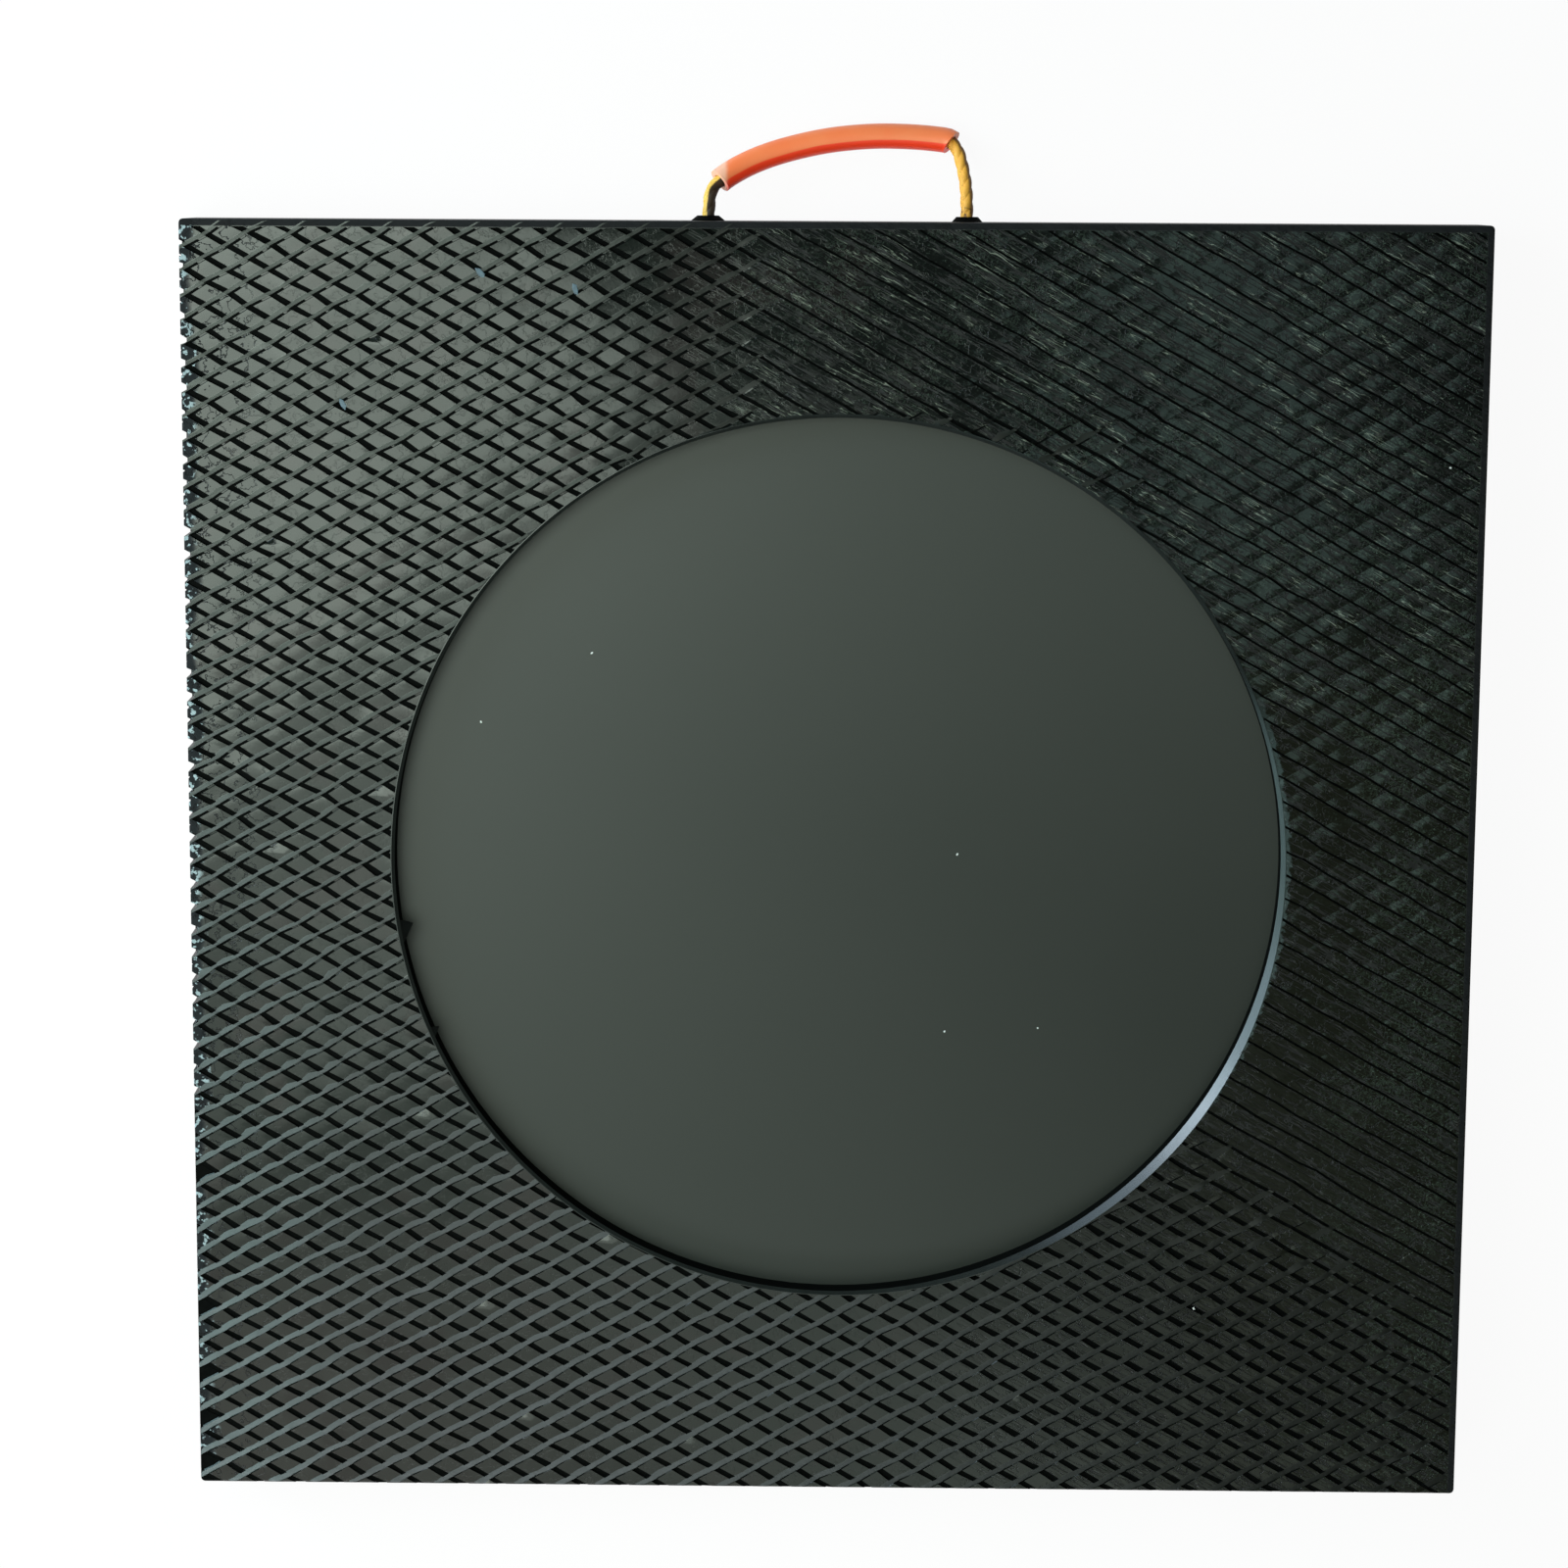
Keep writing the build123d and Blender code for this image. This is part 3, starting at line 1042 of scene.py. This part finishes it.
def paint_pad(pad):
    """Floor, edges and rim, told apart by where a face lies; the relief has its finishes already."""
    slack = 0.02
    cell_area = (6 * MM) ** 2
    for face in pad.data.polygons:
        place = face.center / MM
        from_wall = math.hypot(place.x - seat_floor.x, place.y - seat_floor.y) - seat_radius
        turn = math.atan2(place.y - seat_floor.y, place.x - seat_floor.x)
        on_band = abs(face_z - place.z - band_drop) < slack and face.normal.z > 0.999
        beyond_band = place.x > pad_width / 2 - band_width or place.y > edge_y - band_width
        if place.y > edge_y + 0.05 or (on_band and beyond_band and face.area > cell_area):
            face.material_index = in_slot
        # The seat's wall gets the black slot finish: painted shade.
        elif from_wall < slack and place.z > seat_floor.z + 0.5:
            face.material_index = in_slot
        elif from_wall < worn_width(turn) + 0.5 and place.z > seat_floor.z + 2.0:
            face.material_index = on_rim
        elif from_wall < 0.05 and place.z > seat_floor.z - 0.5:
            face.material_index = on_floor
        elif place.z < face_z - 2.5:
            face.material_index = on_edge


pad_piece = pad_mesh()
paint_pad(pad_piece)
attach(pad_piece, "root")
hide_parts("pad")

rope_piece = twisted_rope()
hose_piece = hose()
for piece, node, slot in ((rope_piece, "rope", "rope_fibre"), (hose_piece, "hose_grip", "grip_hose")):
    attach(piece, "root")
    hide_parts(node)

pale_chips = [
    (-164.0, 66.0, seat_floor.z),
    (-112.0, 99.0, seat_floor.z),
    (54.5, -80.0, seat_floor.z),
    (59.4, 4.9, seat_floor.z),
    (98.4, -78.0, seat_floor.z),
    (174.0, -211.0, face_z),
    (283.0, 188.7, face_z),
]
blue_chips = [(-162.0, 274.6, face_z), (-226.0, 215.0, face_z), (-118.5, 267.5, face_z)]
white = chip_plastic("pale_chips", (0.50, 0.52, 0.50), (0.80, 0.82, 0.80))
blue = chip_plastic("blue_chips", (0.030, 0.055, 0.075), (0.10, 0.16, 0.20))
crumbs("pale_crumbs", pale_chips, 1.5, 1.0, white)
crumbs("blue_crumbs", blue_chips, 6.0, 3.0, blue)

fibre = rope_fibre()
rope_piece.data.materials.append(fibre)
hose_piece.data.materials.append(orange_hose())
for node in ("knot_left", "knot_right"):
    slots = frame["nodes"][node].data.materials
    slots.clear()
    slots.append(fibre)


# Floor, lights and world


def add_floor():
    """A pale floor that the camera sees as white, with the object's shadow on it."""
    reach = 40000.0
    white_share = 0.94
    finish = Finish("pale_floor")
    floor = box_piece("floor", (-reach, -reach, -20.0), (reach, reach, 0.0))
    rays = finish.node("ShaderNodeLightPath", output="Is Camera Ray")
    glossy = Value(finish, rays.socket.node.outputs["Is Glossy Ray"])
    through = Value(finish, rays.socket.node.outputs["Is Transmission Ray"])
    seen = (rays + glossy + through).clamped()
    paper = finish.node("ShaderNodeBsdfDiffuse", {}, {"Color": (0.80, 0.80, 0.80, 1.0)})
    glow = finish.node("ShaderNodeEmission", {}, {"Color": (1.0, 1.0, 1.0, 1.0), "Strength": 1.0})
    mixed = finish.node("ShaderNodeMixShader", {}, {0: seen * white_share, 1: paper, 2: glow})
    finish.end_in(mixed)
    floor.data.materials.append(finish.material)


def panel_light(name, centre, size, radiance, aim=None, turn=0.0, tint=(1.0, 1.0, 1.0)):
    """A soft rectangular lamp; radiance is what a mirror would show of it."""
    data = bpy.data.lights.new(name, "AREA")
    data.shape = "RECTANGLE"
    data.size = size[0] * MM
    data.size_y = size[1] * MM
    data.energy = radiance * math.pi * data.size * data.size_y
    data.color = tint
    lamp = bpy.data.objects.new(name, data)
    lamp.location = Vector(centre) * MM
    if aim is None:
        lamp.rotation_euler = (0.0, 0.0, turn)
    else:
        lamp.rotation_euler = (Vector(aim) - Vector(centre)).to_track_quat("-Z", "Y").to_euler()
    lamp.visible_camera = False
    bpy.context.scene.collection.objects.link(lamp)


def ceiling_radiance(along, outward):
    """How bright the ceiling is: it fades to its near side, right-hand edge and far left."""
    brightest = 7.0
    nearness = smooth_share(along, -200.0, 380.0)
    near_fade = 1.0 - 0.82 * nearness
    farness = 1.0 - smooth_share(along, -160.0, 200.0)
    right_share = 0.55 - 0.50 * nearness + 0.24 * farness
    right_fade = right_share + (1 - right_share) * smooth_share(outward, 0.0, 400.0)
    left_fade = 1.0 - (0.42 - 0.12 * farness) * smooth_share(outward, 250.0, 650.0)
    return brightest * near_fade * right_fade * left_fade


def add_ceiling(height):
    """A soft ceiling of panels above the left half, with one straight right-hand edge."""
    edge_top = Vector((-61.0, 292.0))
    edge_along = Vector((0.57, -0.82)).normalized()
    edge_outward = Vector((edge_along.y, -edge_along.x))
    turn = math.atan2(edge_along.y, edge_along.x)
    first_along = -400.0
    row_length = 240.0
    for row in range(6):
        along = first_along + (row + 0.5) * row_length
        # The two far rows start further left
        first_outward = 85.0 if row < 2 else 0.0
        columns = (first_outward, 120.0, 260.0, 500.0, 1000.0)
        for start, end in zip(columns, columns[1:]):
            outward = (start + end) / 2
            centre = edge_top + edge_along * along + edge_outward * outward
            panel_light(
                "ceiling",
                (centre.x, centre.y, height),
                (row_length, end - start),
                ceiling_radiance(along, outward),
                turn=turn,
                tint=(0.87, 1.0, 0.89),
            )


def add_lights():
    height = 740.0
    add_ceiling(height)
    # Panels beyond the near edge, which only the ramps mirror
    panel_light("near_left", (-400.0, -1150.0, height), (600.0, 500.0), 6.0, tint=(0.92, 0.96, 1.0))
    panel_light("near_middle", (50.0, -1150.0, height), (300.0, 500.0), 2.2, tint=(0.84, 1.0, 0.98))
    panel_light("near_right", (350.0, -1150.0, height), (300.0, 500.0), 0.8, tint=(0.85, 1.0, 0.95))
    # A window, low beyond the upper left, that the seat's rim mirrors at the lower right
    window = (-2000.0, 975.0, 900.0)
    middle = (0.0, 0.0, 0.0)
    panel_light("window", window, (620.0, 800.0), 16.0, aim=middle, tint=(0.70, 0.86, 1.0))
    panel_light("window_sides", window, (2300.0, 1100.0), 3.5, aim=middle, tint=(0.62, 0.82, 1.0))
    # A faint strip above the far right, which the dark side of the net mirrors
    panel_light("sky", (215.0, 330.0, height), (150.0, 500.0), 0.9, tint=(0.66, 1.0, 0.92))
    world = bpy.data.worlds.new("room")
    world.use_nodes = True
    background = world.node_tree.nodes["Background"]
    background.inputs["Color"].default_value = (1.0, 0.98, 0.90, 1.0)
    background.inputs["Strength"].default_value = 0.10
    bpy.context.scene.world = world


add_floor()
add_lights()
bpy.context.scene.view_settings.view_transform = "Standard"
